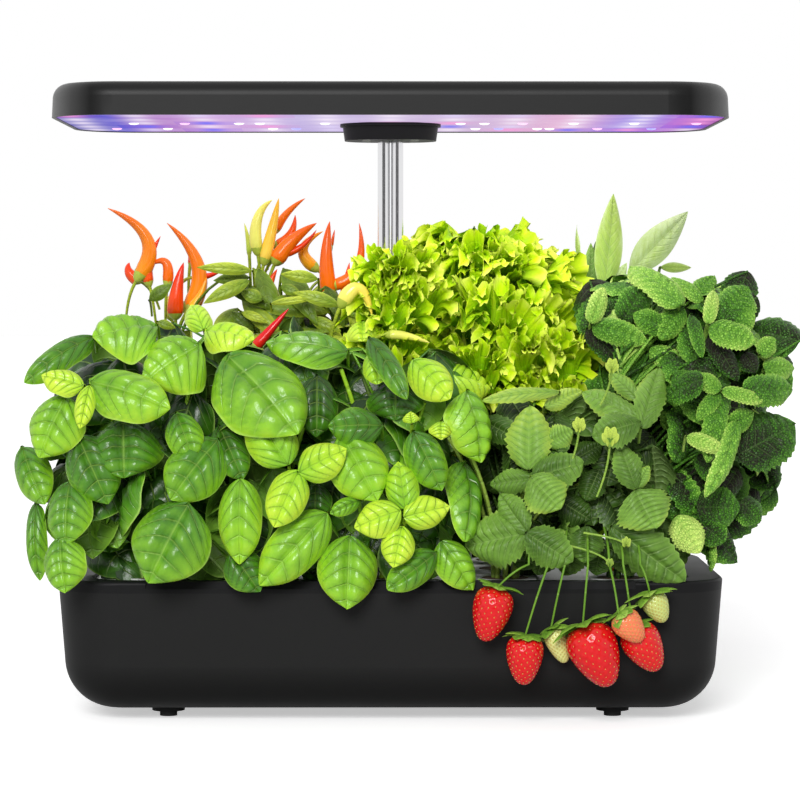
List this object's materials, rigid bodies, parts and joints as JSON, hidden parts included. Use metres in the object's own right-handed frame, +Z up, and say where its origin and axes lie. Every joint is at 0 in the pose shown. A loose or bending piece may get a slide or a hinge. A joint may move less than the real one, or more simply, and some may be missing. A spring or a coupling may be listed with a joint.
{
  "type": "countertop hydroponic garden",
  "caption": "Planted countertop hydroponic garden: rounded black water tank, white growing deck with net baskets, herbs, peppers and strawberries, LED grow lamp on a twin-tube telescopic pole.",
  "frame": {"origin": "middle of the whole planted object's footprint box, on the surface that the feet stand on", "axes": "+Z up, +X to the right seen from the front, -Y is the front with the buttons and the hanging strawberries"},
  "size_m": [0.4916, 0.2828, 0.3847],
  "materials": {
    "black_shell": "satin moulded black ABS",
    "black_frame": "satin moulded black ABS",
    "white_deck": "satin white ABS",
    "button_plastic": "satin dark grey ABS",
    "lens": "clear polycarbonate",
    "rubber": "matte rubber",
    "grey_housing": "matte grey ABS",
    "circuit_green": "solder-masked board",
    "switch_metal": "steel",
    "jack_black": "moulded nylon jack",
    "pin_steel": "steel",
    "float_orange": "satin moulded polypropylene",
    "basket_white": "moulded polypropylene",
    "sponge": "peat sponge",
    "pump_dark": "moulded ABS",
    "impeller_white": "moulded nylon",
    "hose_clear": "soft silicone",
    "column_metal": "anodised aluminium extrusion",
    "chrome": "polished chrome plate",
    "window": "frosted polycarbonate",
    "board_white": "white solder-masked aluminium board",
    "led_glow": "LED package",
    "screw_steel": "zinc-plated steel",
    "stem_green": "living stem",
    "basil_green": "living leaves",
    "chilli_green": "living leaves",
    "lettuce_green": "living leaves",
    "sage_green": "living leaves",
    "mint_green": "living leaves",
    "berry_green": "living leaves",
    "pepper_orange": "glossy fruit skin",
    "berry_red": "glossy fruit skin"
  },
  "bodies": {
    "base": {"tank": "black_shell", "top_frame": "black_frame", "indicator_lenses": "lens", "foot_discs": "black_shell", "foot_pads": "rubber", "control_housing": "grey_housing", "control_board": "circuit_green", "button_switches": "switch_metal", "power_socket": "jack_black", "socket_boot": "rubber", "pump_housing": "pump_dark", "pump_cover": "pump_dark", "pump_suckers": "rubber", "riser_hose": "hose_clear", "column": "column_metal", "column_cap": "black_shell"},
    "light_button": {"light_button": "button_plastic"},
    "pump_button": {"pump_button": "button_plastic"},
    "growing_deck": {"deck": "white_deck", "lid_pin": "pin_steel", "float_guide": "white_deck", "column_collar": "white_deck", "net_baskets": "basket_white", "grow_sponges": "sponge", "plant_stems": "stem_green", "basil_leaves": "basil_green", "chilli_leaves": "chilli_green", "chilli_peppers": "pepper_orange", "lettuce_leaves": "lettuce_green", "sage_leaves": "sage_green", "mint_leaves": "mint_green", "strawberry_leaves": "berry_green", "strawberries": "berry_red", "berry_stalks": "stem_green"},
    "fill_lid": {"fill_lid": "white_deck"},
    "level_float": {"level_float": "float_orange"},
    "impeller": {"pump_impeller": "impeller_white"},
    "lamp": {"left_tube": "chrome", "right_tube": "chrome", "lamp_shell": "black_shell", "light_window": "window", "led_board": "board_white", "leds": "led_glow", "lamp_hub": "black_shell", "hub_screws": "screw_steel", "board_screws": "screw_steel"}
  },
  "joints": [
    {"name": "lamp_height", "type": "slide", "parent": "base", "child": "lamp", "axis": [0, 0, 1], "range_m": [-0.028, 0.09]},
    {"name": "deck_lift", "type": "slide", "parent": "base", "child": "growing_deck", "axis": [0, 0, 1], "range_m": [0, 0.025]},
    {"name": "lid_hinge", "type": "hinge", "parent": "growing_deck", "child": "fill_lid", "pos_m": [-0.142, 0.02, 0.0862], "axis": [-1, 0, 0], "range_deg": [0, 100]},
    {"name": "float_slide", "type": "slide", "parent": "growing_deck", "child": "level_float", "axis": [0, 0, 1], "range_m": [0, 0.018]},
    {"name": "impeller_spin", "type": "hinge", "parent": "base", "child": "impeller", "pos_m": [0.106, 0, 0.0247], "axis": [0, 1, 0], "continuous": true},
    {"name": "light_press", "type": "slide", "parent": "base", "child": "light_button", "axis": [0, 0, -1], "range_m": [0, 0.0008], "stiffness_N_per_m": 800, "springref_m": -0.001},
    {"name": "pump_press", "type": "slide", "parent": "base", "child": "pump_button", "axis": [0, 0, -1], "range_m": [0, 0.0008], "stiffness_N_per_m": 800, "springref_m": -0.001}
  ]
}
